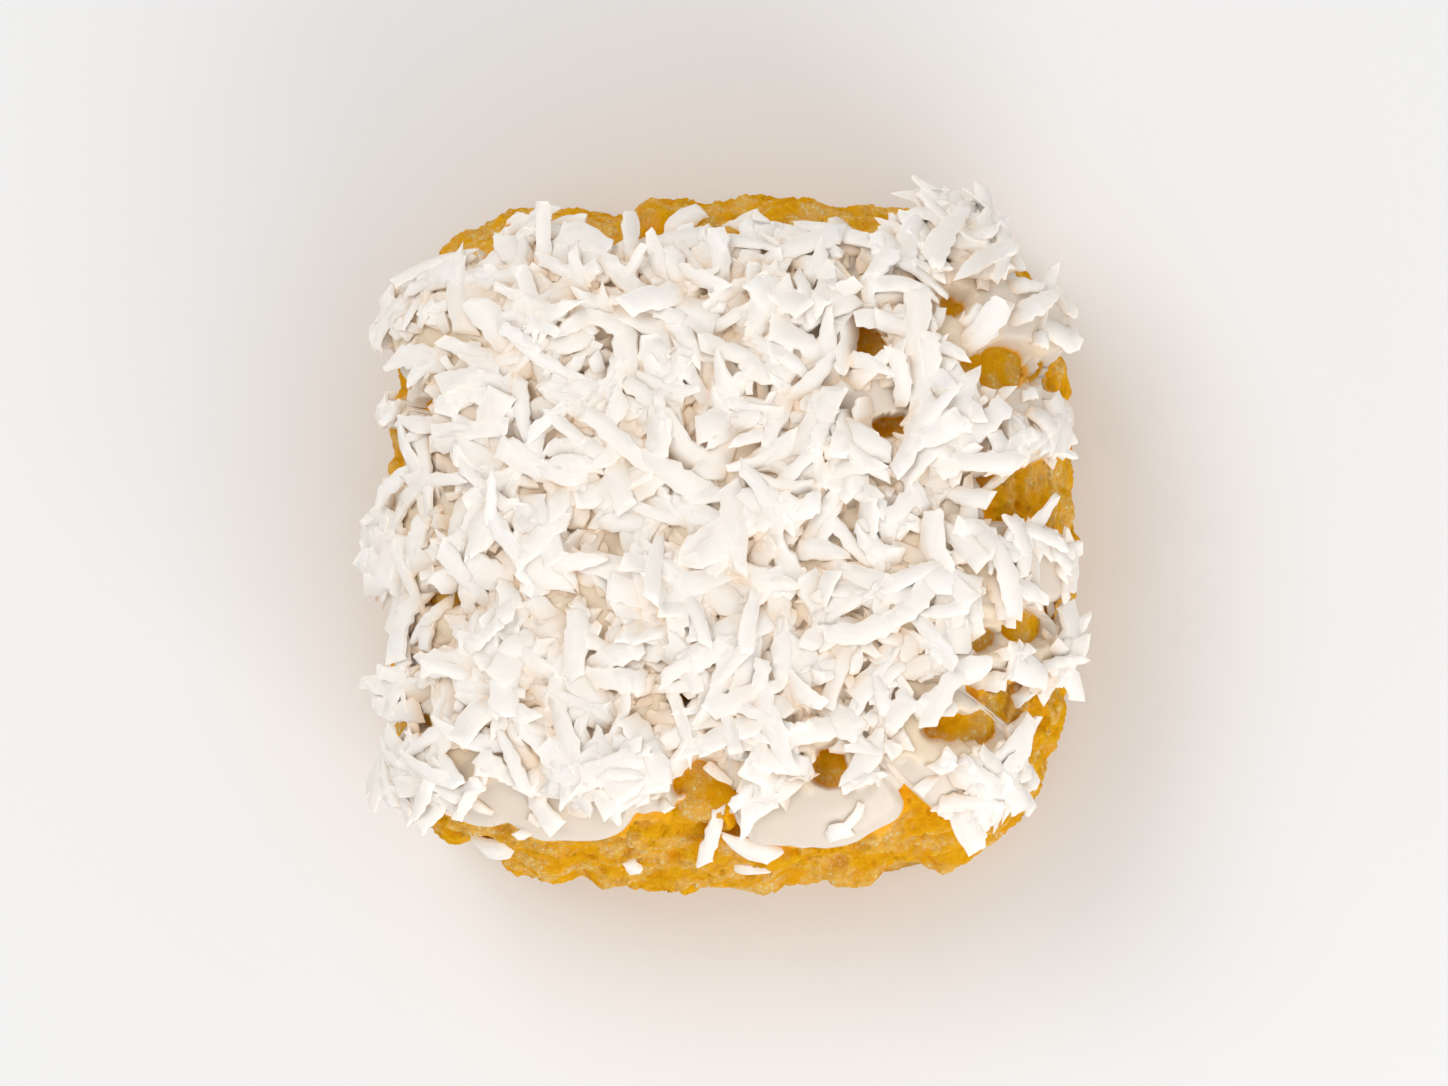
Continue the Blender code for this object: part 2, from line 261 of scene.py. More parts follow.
SHARP_EDGE = math.radians(67)
# Share of pointed ends, and how wide ends are and how late they narrow, pointed and blunt
POINTED = 0.13
END_WIDTHS = ((0.15, 0.4), (0.7, 1.05))
END_FALLS = (1.6, 7.0)
# How pieces are bent, as (mean, spread), or as (lowest, highest) for the arch and the wedge
SLANT = (0, 0.05)
ARCH = (-0.02, 0.10)
CURVE = (0, 0.065)
CUP = (0.04, 0.06)
TWIST = (0, 0.15)
WEDGE = (-0.35, 0.35)
# How pieces lean and roll, as spreads, and those that stand up, with their lean as (lowest, highest)
LEAN, ROLL = 0.07, 0.12
UPRIGHT_LEAN, UPRIGHT_ROLL = (0.2, 0.5), 0.4
# How much earlier chips fall, as a share of the whole time
CHIPS_FIRST = 0.3

# How fine the meshes are: columns round the cake, and rings down the side, under the icing and over the top
COLUMNS = 640
SIDE_STEP = 0.00042
HIDDEN_STEP = 0.0012
HIDDEN_START = 0.0005
HIDDEN_WIDTH = 0.0300
RIM_RINGS = 9
SHOULDER_RINGS = 42
TOP_RINGS = 36
SHOULDER_END = -0.0045

# The unrolled map on which the coconut settles: half its side, its cells, and how far it is blurred in cells
MAP_HALF = 0.0580
MAP_CELL = 0.0004
VEIL = 6
SOFTENING = 2

# Where a piece of coconut feels the heap: samples, and shares of its length and width to each side
FELT_SAMPLES = (9, 5)
FELT_SHARES = (0.42, 0.40)
# Ground this far below the highest counts less. Lift and tilts along and across cost this much
TOUCH = 0.0006
STIFFNESS = (0, 4e-6, 1.2e-6)
STEEPEST = (0.35, 0.5)
# How much of the ground lies below its level, how much thickness it adds, and how far slopes turn it up
SETTLE = 0.60
PACKING = 0.6
SHINGLE = 0.8

# How deep in the heap a point lies, as (start, fade) in spreads of the heap's height, for the painted shade
# of coconut in its hollows
HOLLOW_SHADE = (-1.2, 2.5)

# The sponge's pores: (how many times smaller than the largest, how many of their cells have none, as a share)
PORES = ((1.0, 0.52), (1.7, 0.36), (2.9, 0.22))

# The finest grain of each material
CRUMB_GRAIN = 0.0010
SPECK_SIZE = 0.00055
FIBRE_WIDTH = 0.00028

# The stage: the floor's half side, soft lights as (name, place, size, power), and the camera
FLOOR_HALF = 1.5
DAYLIGHT = 0.60
LIGHTS = (
    ("key", (-0.35, 0.35, 0.75), 0.45, 2.2),
    ("fill", (0.32, -0.56, 0.34), 0.60, 2.5),
)
LIGHT_AIM = (0, 0, 0.03)
CAMERA_PLACE = (0.0476, -0.0058, 0.70)
CAMERA_AIM = (0, 0, 0.025)
CAMERA_LENS = 150


def ease(share):
    share = np.clip(share, 0, 1)
    return share * share * (3 - 2 * share)


def fade_in(distance, limits):
    """0 up to the start, and 1 from the fade's end on."""
    start, fade = limits
    return ease((distance - start) / fade)


def side_profile():
    """Down the side from the flat top's edge to the base: (reach, the length so far; inset; height)."""
    turn = np.linspace(0, math.pi / 2, PROFILE_STEPS)
    power = 2 / SHOULDER_ROUNDNESS
    inset = SHOULDER * (1 - np.sin(turn) ** power)
    height = BULGE_HEIGHT + (SPONGE_HEIGHT - BULGE_HEIGHT) * np.cos(turn) ** power
    share = np.linspace(0, 1, PROFILE_STEPS)[1:]
    inset = np.concatenate([inset, BASE_TUCK * share**2])
    height = np.concatenate([height, BULGE_HEIGHT * (1 - share)])
    steps = np.hypot(np.diff(inset), np.diff(height))
    return np.concatenate([[0], np.cumsum(steps)]), inset, height


REACHES, INSETS, HEIGHTS = side_profile()
SIDE_LENGTH = float(REACHES[-1])


def plan_radius(angle, inset):
    """Distance from the middle to the cake's outline, drawn in by inset."""
    across = (np.abs(np.cos(angle)) / (WIDTH / 2 - inset)) ** SQUARENESS
    along = (np.abs(np.sin(angle)) / (DEPTH / 2 - inset)) ** SQUARENESS
    radius = (across + along) ** (-1 / SQUARENESS)
    for times, swing, start in PLAN_WAVES:
        radius = radius + swing * np.cos(times * angle + start)
    return radius


def cake_surface(angle, reach):
    """Points of the sponge before its crags. Reach is negative on the flat top and positive down the side."""
    inset = np.where(reach < 0, SHOULDER, np.interp(reach, REACHES, INSETS))
    height = np.where(reach < 0, SPONGE_HEIGHT, np.interp(reach, REACHES, HEIGHTS))
    radius = np.maximum(plan_radius(angle, inset) + np.minimum(reach, 0), 0)
    return np.stack([radius * np.cos(angle), radius * np.sin(angle), height], axis=-1)


def outward(angle, reach, step=1e-4):
    """Outward directions of the cake's surface."""
    around = cake_surface(angle + step, reach) - cake_surface(angle - step, reach)
    down = cake_surface(angle, reach + step) - cake_surface(angle, reach - step)
    normal = np.cross(down, around)
    length = np.linalg.norm(normal, axis=-1, keepdims=True)
    up = np.broadcast_to([0.0, 0.0, 1.0], normal.shape)
    return np.where(length > 1e-12, normal / np.maximum(length, 1e-12), up)


def frame_shift():
    """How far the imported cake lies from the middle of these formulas, from its flat underside."""
    points = np.array([v.co for v in frame["nodes"]["sponge"].data.vertices])
    foot = points[points[:, 2] < 1e-5]
    angles = np.linspace(0, 2 * math.pi, COLUMNS, endpoint=False)
    rim = cake_surface(angles, np.full(COLUMNS, SIDE_LENGTH))
    return (foot.min(0) + foot.max(0) - rim.min(0) - rim.max(0)) / 2 * [1, 1, 0]


def even_angles(count):
    """Angles of points that lie evenly along the outline."""
    fine = np.linspace(0, 2 * math.pi, 4 * COLUMNS + 1)
    outline = cake_surface(fine, np.full_like(fine, SIDE_LENGTH))
    run = np.concatenate([[0], np.cumsum(np.linalg.norm(np.diff(outline, axis=0), axis=1))])
    return np.interp(np.arange(count) / count * run[-1], run, fine)


def turn_between(angle, middle):
    """How far angle is from middle, in degrees, the short way round."""
    return (np.degrees(angle) - middle + 180) % 360 - 180


def ripple(points, size, seed, waves=9):
    """A smooth uneven field between about -1 and 1, made of waves about as long as size."""
    chance = np.random.default_rng(seed)
    total = np.zeros(points.shape[:-1])
    for _ in range(waves):
        direction = chance.normal(size=points.shape[-1])
        direction *= 2 * math.pi / size * chance.uniform(0.6, 1.5) / np.linalg.norm(direction)
        total += np.sin(points @ direction + chance.uniform(0, 2 * math.pi))
    return total / math.sqrt(waves) / 1.3


def uneven(points, ripples, level=0.0):
    """A level with ripples on it, each given as (swing, size, seed)."""
    for swing, size, seed in ripples:
        level = level + swing * ripple(points, size, seed)
    return level


def icing_reach(angle):
    """How far the icing runs down the side: round lobes that merge where they meet."""
    total = np.zeros_like(angle)
    for middle, half_width, reach in LOBES:
        share = np.abs(turn_between(angle, middle) / half_width)
        rounded = np.clip(1 - share**LOBE_ROUNDNESS, 0, None) ** (1 / LOBE_ROUNDNESS)
        total += (reach * rounded) ** LOBE_BLEND
    return ICING_REACH + total ** (1 / LOBE_BLEND)


def icing_edge(angle):
    """The lobed edge with the small unevenness of icing that ran."""
    circle = np.stack([np.cos(angle), np.sin(angle)], axis=-1) * (WIDTH / 2)
    return uneven(circle, EDGE_RIPPLES, icing_reach(angle))


def blurred(field, reach):
    """A map averaged twice over squares that reach that many cells to each side."""
    for axis in (0, 1, 0, 1):
        field = sum(np.roll(field, step, axis) for step in range(-reach, reach + 1)) / (2 * reach + 1)
    return field


def spot_share(points, spots):
    """1 in the middle of uneven plan ellipses (x, y, half length, half depth), 0 outside them."""
    share = np.zeros(points.shape[:-1])
    reach = uneven(points, SPOT_RIPPLES)
    for x, y, long, deep in spots:
        away = np.hypot((points[..., 0] - x) / long, (points[..., 1] - y) / deep)
        share = np.maximum(share, ease((SPOT_REACH + reach - away) / SPOT_FADE))
    return share


def icing_lift(angle, reach, sizes, step=0.01):
    """(thickness of icing and bed over the sponge, distance from the icing's edge)."""
    edge = icing_edge(angle)
    slope = (icing_edge(angle + step) - icing_edge(angle - step)) / (2 * step * (WIDTH / 2))
    from_edge = np.maximum(edge - reach, 0) / np.sqrt(1 + slope**2)
    points = cake_surface(angle, reach)
    rim = np.sqrt(1 - (1 - np.clip(from_edge / sizes.rim, 0, 1)) ** 2)
    thick = sizes.icing_thickness * uneven(points, THICKNESS_RIPPLES, 1)
    middle = ease(-reach / plan_radius(angle, SHOULDER))
    inside = ease(-reach / BED_FADE + BED_AT_EDGE)
    smooth = spot_share(points, SMOOTH_ICING)
    bed = sizes.bed_thickness * uneven(points, BED_RIPPLES, 1) * (1 - SMOOTH_BED * smooth)
    for x, y, radius, extra in CLUMPS:
        away = np.hypot(points[..., 0] - x, points[..., 1] - y) / radius
        thick = thick + extra * np.exp(-(away**2))
    lumps = uneven(points, LUMP_RIPPLES) * (1 - smooth) * ease(from_edge / LUMPS)
    thin = spot_share(points, THIN_SPOTS)
    lift = rim * thick + inside * bed + middle * sizes.dome + lumps
    return lift - thin * (lift + HOLE_DEPTH), from_edge


def crag_depth(angle, reach, points):
    """How deep the torn crumb lies below the smooth surface."""
    bare = ease((reach - icing_reach(angle) - CRAG_START) / CRAG_FADE)
    height = np.interp(reach, REACHES, HEIGHTS)
    rough = np.array([noise.noise(Vector(p) / CRAG_SIZE) for p in points])
    depth = CRAG_DEPTH * (0.5 - rough)
    bulge = ease(1 - np.abs(height - BITE_HEIGHT) / BITE_REACH)
    for middle, half_width, bite in BITES:
        depth = depth + bite * np.exp(-((turn_between(angle, middle) / half_width) ** 2)) * bulge
    return depth * bare * ease(height / FOOT_FADE)


class Tree:
    """Adds nodes to a node tree, one line each, and gives their sockets a value or a link."""

    def __init__(self, tree):
        self.tree = tree

    def add(self, kind, inputs=None, **settings):
        node = self.tree.nodes.new(kind)
        for name, value in settings.items():
            setattr(node, name, value)
        for key, value in (inputs or {}).items():
            self.put(node.inputs[key], value)
        return node

    def put(self, socket, value):
        if isinstance(value, bpy.types.NodeSocket):
            self.tree.links.new(value, socket)
        else:
            socket.default_value = value

    def math(self, operation, *values, clamp=False):
        node = self.add("ShaderNodeMath", dict(enumerate(values)), operation=operation, use_clamp=clamp)
        return node.outputs[0]

    def times(self, first, second, clamp=False):
        return self.math("MULTIPLY", first, second, clamp=clamp)

    def vector(self, operation, first, second):
        node = self.add("ShaderNodeVectorMath", {0: first}, operation=operation)
        self.put(node.inputs["Scale" if operation == "SCALE" else 1], second)
        return node.outputs[0]

    def ramp_between(self, value, low, high, to_low=0.0, to_high=1.0):
        """value's place between low and high, eased, as a number from to_low to to_high."""
        inputs = {"Value": value, "From Min": low, "From Max": high, "To Min": to_low, "To Max": to_high}
        return self.add("ShaderNodeMapRange", inputs, interpolation_type="SMOOTHSTEP").outputs["Result"]


class Paint(Tree):
    """A new material's node tree, with what paints it."""

    def __init__(self, name):
        self.material = bpy.data.materials.new(name)
        self.material.use_nodes = True
        super().__init__(self.material.node_tree)
        self.tree.nodes.clear()
        self.place = self.add("ShaderNodeTexCoord").outputs["Object"]

    def noise(self, size, detail=3.0, roughness=0.55, place=None):
        inputs = {"Vector": place or self.place, "Scale": 1 / size, "Detail": detail, "Roughness": roughness}
        return self.add("ShaderNodeTexNoise", inputs).outputs["Fac"]

    def patches(self, size, detail, low, high):
        """Soft patches of noise, 0 where it is below low and 1 above high."""
        return self.ramp_between(self.noise(size, detail), low, high)

    def stored(self, name, output="Fac"):
        """What the mesh stores under a name."""
        return self.add("ShaderNodeAttribute", attribute_name=name).outputs[output]

    def mix(self, share, first, second):
        return self.add("ShaderNodeMix", {0: share, 6: first, 7: second}, data_type="RGBA").outputs[2]

    def bump(self, height, depth, strength):
        inputs = {"Height": height, "Distance": depth, "Strength": strength}
        return self.add("ShaderNodeBump", inputs).outputs[0]

    def finish(self, inputs):
        shader = self.add("ShaderNodeBsdfPrincipled", inputs)
        shader.subsurface_method = "BURLEY"
        self.add("ShaderNodeOutputMaterial", {"Surface": shader.outputs[0]})
        return self.material


def rgb(colour):
    return (*colour, 1.0)


def sponge_material(look):
    """Golden crumb: smooth and wet with syrup near the icing, dry with pale torn specks further out, with
    raised crumb painted lighter and pores and crumb hollows painted darker as shade.
    """
    paint = Paint("golden_sponge")
    wet = paint.math("ADD", paint.stored("wet"), paint.math("SUBTRACT", paint.noise(0.005, 3.0), 0.5))
    wet = paint.ramp_between(wet, 0.25, 0.75)
    dry = paint.math("SUBTRACT", 1.0, wet)
    patches = paint.patches(0.007, 4.0, 0.35, 0.65)
    soaked = paint.math("MAXIMUM", paint.times(wet, 0.65), paint.times(patches, 0.35))
    crumb = paint.noise(CRUMB_GRAIN, 5.0, 0.7)
    # Painted highlight: raised crumb is coloured lighter and yellower, in place of the light its tips catch.
    colour = paint.mix(paint.ramp_between(crumb, 0.48, 0.62), rgb(look.sponge), rgb(look.sponge_lit_crumb))
    colour = paint.mix(soaked, colour, rgb(look.sponge_deep))
    grains = paint.add("ShaderNodeTexVoronoi", {"Vector": paint.place, "Scale": 1 / SPECK_SIZE}).outputs
    chosen = paint.ramp_between(paint.add("ShaderNodeSeparateXYZ", {0: grains["Color"]}).outputs[0], 0.2, 0.7)
    specks = paint.times(paint.ramp_between(grains["Distance"], 0.6, 0.2), chosen)
    clusters = paint.patches(0.0042, 3.0, 0.42, 0.62)
    torn = paint.times(paint.math("ADD", 0.25, paint.times(specks, 0.75)), clusters)
    torn = paint.times(torn, paint.math("ADD", 0.4, paint.times(dry, 0.6)))
    colour = paint.mix(torn, colour, rgb(look.sponge_light))
    # Painted shade: the crumb's low spots and the stored pits of pores and grooves are darkened towards the
    # pore colour.
    crumb_cavity_shade = paint.times(paint.ramp_between(crumb, 0.46, 0.34), 0.45)
    hollows = paint.math("MAXIMUM", paint.times(paint.stored("pit"), 0.6, clamp=True), crumb_cavity_shade)
    colour = paint.mix(hollows, colour, rgb(look.sponge_pore_shade))
    height = paint.add("ShaderNodeSeparateXYZ", {0: paint.place}).outputs["Z"]
    baked = paint.times(paint.ramp_between(height, 0.0045, 0.0), paint.patches(0.006, 3.0, 0.2, 0.7))
    colour = paint.mix(paint.times(baked, 0.6), colour, rgb(look.sponge_crust))
    relief = paint.bump(crumb, 0.0009, paint.math("ADD", 0.3, paint.times(dry, 0.7)))
    return paint.finish(
        {
            "Base Color": colour,
            "Roughness": paint.ramp_between(wet, 0.0, 1.0, 0.65, 0.25),
            "Normal": relief,
            "Subsurface Weight": 0.15,
            "Subsurface Radius": (1.0, 0.60, 0.15),
            "Subsurface Scale": 0.0005,
            "Specular IOR Level": 0.05,
        }
    )


def icing_material(look):
    """Smooth creamy icing, with the bed under the coconut painted warmer and darker, partly its own colour
    and partly painted shade in the gaps, and the sponge's gold where it is thin.
    """
    paint = Paint("white_icing")
    cloud = paint.patches(0.008, 3.0, 0.3, 0.7)
    colour = paint.mix(paint.times(cloud, 0.5), rgb(look.icing), rgb(look.icing_warm))
    # Partly painted shade: the icing under the coconut is coloured warmer and darker, partly as a layer of
    # its own and partly as the shade in the gaps between pieces.
    colour = paint.mix(paint.times(paint.stored("bed"), 0.8), colour, rgb(look.bed))
    thin = paint.math("ADD", paint.stored("thin"), paint.times(paint.noise(0.0015), 0.2))
    colour = paint.mix(paint.ramp_between(thin, 0.65, 0.9), colour, rgb(look.sponge))
    relief = paint.bump(paint.noise(0.0022, 4.0, 0.6), 0.00010, 0.35)
    return paint.finish(
        {
            "Base Color": colour,
            "Roughness": paint.ramp_between(paint.noise(0.005), 0.3, 0.7, 0.26, 0.40),
            "Normal": relief,
            "Subsurface Weight": 0.4,
            "Subsurface Radius": (1.0, 0.85, 0.70),
            "Subsurface Scale": 0.0010,
            "Coat Weight": 0.35,
            "Coat Roughness": 0.12,
        }
    )


def coconut_material(look):
    """Milky pieces with fine fibres along them, some warmer than others, and painted darker and warmer where
    they lie deep in the heap's hollows, as painted shade.
    """
    paint = Paint("shredded_coconut")
    cloud = paint.patches(0.0035, 2.0, 0.35, 0.75)
    warm = paint.math("ADD", paint.times(paint.stored("tint"), 0.25), paint.times(cloud, 0.25))
    colour = paint.mix(warm, rgb(look.coconut), rgb(look.coconut_warm))
    along = paint.vector("MULTIPLY", paint.stored("grain", "Vector"), (0.12, 1.0, 1.0))
    fibre = paint.noise(FIBRE_WIDTH, 3.0, 0.6, along)
    colour = paint.mix(paint.ramp_between(fibre, 0.45, 0.75, 0.0, 0.35), colour, rgb(look.coconut_warm))
    # Painted shade: pieces deep in the heap are darkened and warmed towards the shaded coconut colour.
    colour = paint.mix(paint.stored("deep"), colour, rgb(look.coconut_shade))
    relief = paint.bump(fibre, 0.00006, 0.5)
    return paint.finish(
        {
            "Base Color": colour,
            "Roughness": paint.ramp_between(fibre, 0.3, 0.7, 0.36, 0.52),
            "Normal": relief,
            "Subsurface Weight": 0.45,
            "Subsurface Radius": (0.75, 0.88, 1.0),
            "Subsurface Scale": 0.0008,
            "Specular IOR Level": 0.45,
        }
    )


def new_object(name, mesh):
    made = bpy.data.objects.new(name, mesh)
    bpy.context.scene.collection.objects.link(made)
    return made


def stacked_rings(name, rings, first_pole, last_pole):
    """A closed mesh from rings of points, each with as many columns, from a pole underneath to one on top."""
    count, columns = rings.shape[:2]
    points = np.concatenate([rings.reshape(-1, 3), [first_pole, last_pole]])
    low = np.arange(columns)
    high = (low + 1) % columns
    quads = []
    for ring in range(count - 1):
        under, over = ring * columns, (ring + 1) * columns
        quads.append(np.stack([low + under, high + under, high + over, low + over], axis=1))
    top = (count - 1) * columns
    first, last = len(points) - 2, len(points) - 1
    faces = np.concatenate(quads).tolist()
    faces += [(first, b, a) for a, b in zip(low.tolist(), high.tolist())]
    faces += [(last, a + top, b + top) for a, b in zip(low.tolist(), high.tolist())]
    mesh = bpy.data.meshes.new(name)
    mesh.from_pydata(points.tolist(), [], faces)
    mesh.shade_smooth()
    return mesh


def store(mesh, name, values):
    """Keeps one number, or one vector, for each point of a mesh."""
    values = np.asarray(values, np.float32)
    kind, field = ("FLOAT", "value") if values.ndim == 1 else ("FLOAT_VECTOR", "vector")
    mesh.attributes.new(name, kind, "POINT").data.foreach_set(field, values.reshape(-1))


def settle_piece(piece, slot, *nodes):
    """Hands a finished piece to the frame."""
    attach(piece, BODY)
    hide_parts(*nodes)


def bake_nodes(piece, tree, values):
    """Runs a Geometry Nodes tree on the piece, keeps the result as its plain mesh and drops the modifier."""
    modifier = piece.modifiers.new(tree.name, "NODES")
    modifier.node_group = tree
    sockets = {item.name: item.identifier for item in tree.interface.items_tree if item.in_out == "INPUT"}
    for name, value in values.items():
        modifier[sockets[name]] = value
    bpy.context.view_layer.update()
    graph = bpy.context.evaluated_depsgraph_get()
    baked = bpy.data.meshes.new_from_object(piece.evaluated_get(graph))
    piece.modifiers.remove(modifier)
    piece.data = baked
    return baked


def new_tree(name, sizes, collections=()):
    """A Geometry Nodes tree that takes a mesh and its finish, with sizes and collections as named inputs."""
    tree = bpy.data.node_groups.new(name, "GeometryNodeTree")
    sockets = [("Geometry", "Geometry"), ("Finish", "Material")]
    sockets += [(label, "Float") for label in sizes] + [(label, "Collection") for label in collections]
    for label, kind in sockets:
        tree.interface.new_socket(label, in_out="INPUT", socket_type="NodeSocket" + kind)
    tree.interface.new_socket("Geometry", in_out="OUTPUT", socket_type="NodeSocketGeometry")
    return Tree(tree)


def named(nodes, name, kind):
    """What the mesh stores under a name."""
    return nodes.add("GeometryNodeInputNamedAttribute", {"Name": name}, data_type=kind).outputs[0]


def end_tree(nodes, geometry, finish):
    """Ends a Geometry Nodes tree with real geometry in its material."""
    realized = nodes.add("GeometryNodeRealizeInstances", {0: geometry}).outputs[0]
    painted = nodes.add("GeometryNodeSetMaterial", {"Geometry": realized, "Material": finish})
    nodes.add("NodeGroupOutput", {"Geometry": painted.outputs[0]})
    return nodes.tree


def crumb_tree():
    """Pushes a surface in at round pores and out at lumps of crumb, along its stored outward direction."""
    sizes = ("Pore size", "Pore depth", "Crumb size", "Crumb height", "Groove depth")
    nodes = new_tree("open_crumb", sizes)
    given = nodes.add("NodeGroupInput").outputs
    place = nodes.add("GeometryNodeInputPosition").outputs[0]
    bare = named(nodes, "bare", "FLOAT")
    out = named(nodes, "out", "FLOAT_VECTOR")
    wide = nodes.math("DIVIDE", 1.0, given["Pore size"])
    stir = nodes.add("ShaderNodeTexNoise", {"Vector": place, "Scale": wide, "Detail": 3.0}).outputs["Color"]
    stir = nodes.vector("SUBTRACT", stir, (0.5, 0.5, 0.5))
    stirred = nodes.vector("ADD", place, nodes.vector("SCALE", stir, nodes.times(given["Pore size"], 0.9)))
    pits = []
    for scale, without in PORES:
        inputs = {"Vector": stirred, "Scale": nodes.times(wide, scale)}
        cells = nodes.add("ShaderNodeTexVoronoi", inputs).outputs
        parts = nodes.add("ShaderNodeSeparateXYZ", {0: cells["Color"]}).outputs
        radius = nodes.ramp_between(parts[0], without, 1.0, 0.02, 0.62)
        share = nodes.math("DIVIDE", cells["Distance"], radius)
        inside = nodes.math("SUBTRACT", 1.0, nodes.times(share, share), clamp=True)
        pits.append(nodes.times(nodes.math("SQRT", inside), nodes.math("DIVIDE", radius, scale)))
    pit = nodes.math("MAXIMUM", nodes.math("MAXIMUM", pits[0], pits[1]), pits[2])
    fine = nodes.math("DIVIDE", 1.0, given["Crumb size"])
    inputs = {"Vector": place, "Scale": fine, "Detail": 5.0, "Roughness": 0.7}
    lump = nodes.add("ShaderNodeTexNoise", inputs).outputs["Fac"]
    rise = nodes.times(nodes.math("SUBTRACT", lump, 0.5), given["Crumb height"])
    inputs = {"Vector": place, "Scale": nodes.times(fine, 1.5), "Detail": 2.0}
    seam = nodes.add("ShaderNodeTexNoise", inputs).outputs["Fac"]
    off_seam = nodes.math("ABSOLUTE", nodes.math("SUBTRACT", seam, 0.5))
    groove = nodes.math("SUBTRACT", 1.0, nodes.times(off_seam, 9.0), clamp=True)
    fall = nodes.times(nodes.times(pit, given["Pore depth"]), 2.0)
    fall = nodes.math("ADD", fall, nodes.times(groove, given["Groove depth"]))
    shift = nodes.times(nodes.math("SUBTRACT", rise, fall), bare)
    inputs = {"Geometry": given["Geometry"], "Offset": nodes.vector("SCALE", out, shift)}
    moved = nodes.add("GeometryNodeSetPosition", inputs).outputs[0]
    # Stores, as pit, how deep the pores and grooves lie on bare crumb; the sponge's colour uses it as painted
    # shade in them.
    pore_shade_mask = nodes.times(nodes.math("MAXIMUM", nodes.times(pit, 2.2), nodes.times(groove, 0.3)), bare)
    inputs = {"Geometry": moved, "Name": "pit", "Value": pore_shade_mask}
    stored = nodes.add("GeometryNodeStoreNamedAttribute", inputs, data_type="FLOAT")
    return end_tree(nodes, stored.outputs[0], given["Finish"])


def scatter_tree():
    """Puts one of several shapes on each point, by the point's own kind, turn and stretch."""
    nodes = new_tree("scatter", ("Size",), ("Shapes",))
    given = nodes.add("NodeGroupInput").outputs
    inputs = {"Collection": given["Shapes"], "Separate Children": True, "Reset Children": True}
    turn = named(nodes, "turn", "FLOAT_VECTOR")
    placed = nodes.add(
        "GeometryNodeInstanceOnPoints",
        {
            "Points": given["Geometry"],
            "Instance": nodes.add("GeometryNodeCollectionInfo", inputs).outputs[0],
            "Pick Instance": True,
            "Instance Index": named(nodes, "kind", "INT"),
            "Rotation": nodes.add("FunctionNodeEulerToRotation", {0: turn}).outputs[0],
            "Scale": nodes.vector("SCALE", named(nodes, "stretch", "FLOAT_VECTOR"), given["Size"]),
        },
    )
    return end_tree(nodes, placed.outputs[0], given["Finish"])


def sponge_mesh():
    """The sponge's surface with its crags, fine down the side and coarse under the icing.

    Stores its outward direction, how bare the crumb is, and how wet.
    """
    angles = even_angles(COLUMNS)
    shift = frame_shift()
    side = np.arange(SIDE_LENGTH, HIDDEN_START, -SIDE_STEP)
    under = -np.arange(HIDDEN_START, HIDDEN_WIDTH, HIDDEN_STEP)
    rings, outs, bares, wets = [], [], [], []
    for reach in np.concatenate([side, under]):
        reaches = np.full(COLUMNS, reach)
        points = cake_surface(angles, reaches)
        out = outward(angles, reaches)
        crag = crag_depth(angles, reaches, points)
        past = reaches - icing_reach(angles)
        height = np.interp(reaches, REACHES, HEIGHTS)
        rings.append(points - out * crag[:, None] + shift)
        outs.append(out)
        holes = spot_share(points, THIN_SPOTS)
        open_side = fade_in(past, BARE_CRUMB) * ease(height / FOOT_CRUMB)
        bares.append(np.maximum(open_side, SPOT_CRUMB * holes))
        wets.append(ease(1.0 - past / WET_CRUMB) * (1 - SPOT_DRY * holes))
    top = (*shift[:2], SPONGE_HEIGHT)
    mesh = stacked_rings("sponge_crumb", np.array(rings), (*shift[:2], 0.0), top)
    store(mesh, "out", np.concatenate([np.concatenate(outs), [(0, 0, -1), (0, 0, 1)]]))
    store(mesh, "bare", np.concatenate([*bares, [0, 0]]))
    store(mesh, "wet", np.concatenate([*wets, [0, 0]]))
    return mesh


def icing_mesh(sizes):
    """The sheet of icing: a rounded rim, smooth lobes, a lumpy bed for the coconut, and thin spots.

    Stores how thin it is, and how much it is a bed.
    """
    angles = even_angles(COLUMNS)
    shift = frame_shift()
    edge = icing_edge(angles)
    rim_steps = sizes.rim * (1 - np.cos(np.linspace(0, math.pi / 2, RIM_RINGS)))
    reaches = [edge - step for step in rim_steps]
    start, inner = reaches[-1], SHOULDER_END
    reaches += [start + (inner - start) * share for share in np.linspace(0, 1, SHOULDER_RINGS)[1:]]
    middle = -plan_radius(angles, SHOULDER)
    reaches += [inner + (middle - inner) * share for share in np.linspace(0, 1, TOP_RINGS)[1:-1]]
    root = sizes.icing_root
    rings = [cake_surface(angles, middle / 2) - outward(angles, middle / 2) * root]
    for share in (0, 0.25, 0.5, 0.75, 1):
        rings.append(cake_surface(angles, edge * share) - outward(angles, edge * share) * root)
    thins, beds = [np.zeros(COLUMNS)] * len(rings), [np.zeros(COLUMNS)] * len(rings)
    for reach in reaches:
        lift, from_edge = icing_lift(angles, reach, sizes)
        points = cake_surface(angles, reach)
        rings.append(points + outward(angles, reach) * lift[:, None])
        thin, smooth = spot_share(points, THIN_SPOTS), spot_share(points, SMOOTH_ICING)
        thins.append(thin)
        beds.append(fade_in(from_edge, BED) * (1 - smooth) * (1 - thin))
    rings = np.array(rings) + shift
    top = SPONGE_HEIGHT + sizes.icing_thickness + sizes.bed_thickness + sizes.dome
    mesh = stacked_rings("icing_sheet", rings, (*shift[:2], SPONGE_HEIGHT - root), (*shift[:2], top))
    store(mesh, "thin", np.concatenate([*thins, [0, 0]]))
    store(mesh, "bed", np.concatenate([*beds, [0, 1]]))
    return mesh


